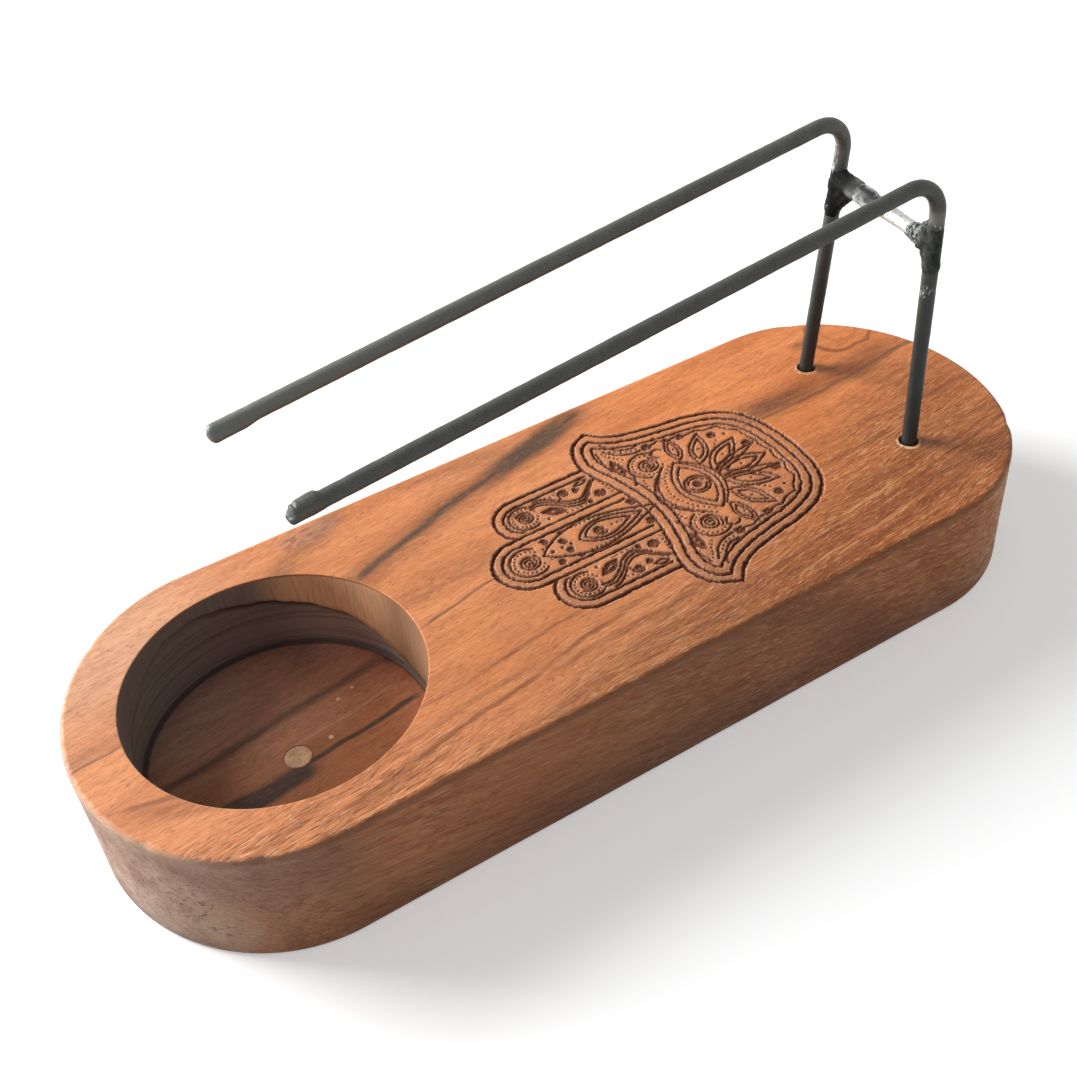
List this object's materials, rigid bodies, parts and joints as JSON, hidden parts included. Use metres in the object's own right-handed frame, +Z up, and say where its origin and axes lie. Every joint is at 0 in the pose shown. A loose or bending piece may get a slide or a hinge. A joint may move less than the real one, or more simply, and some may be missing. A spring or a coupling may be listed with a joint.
{
  "type": "palo santo burner",
  "caption": "Hardwood block with a bored bowl for a tea light and a lift-out bent wire stand whose two rails hold a stick of palo santo over the flame.",
  "frame": {"origin": "under the middle of the block, on the surface it stands on", "axes": "+X along the block from the bowl to the wire legs, +Y to the left side seen from the bowl end, +Z up"},
  "size_m": [0.152, 0.056, 0.0661],
  "materials": {
    "hardwood": "sanded and lightly oiled, open grain, burnt engraving",
    "plug_wood": "pale, sanded",
    "dark_wire": "dark mill scale, satin",
    "ground_wire": "ground bright",
    "weld_steel": "lumpy weld, partly ground"
  },
  "bodies": {
    "base": {"wooden_base": "hardwood", "bowl_plug": "plug_wood"},
    "stand": {"left_rod": "dark_wire", "right_rod": "dark_wire", "cross_bar": "ground_wire", "left_weld": "weld_steel", "right_weld": "weld_steel"}
  },
  "joints": [
    {"name": "stand_lift", "type": "slide", "parent": "base", "child": "stand", "axis": [0, 0, 1], "range_m": [0, 0.02]}
  ]
}
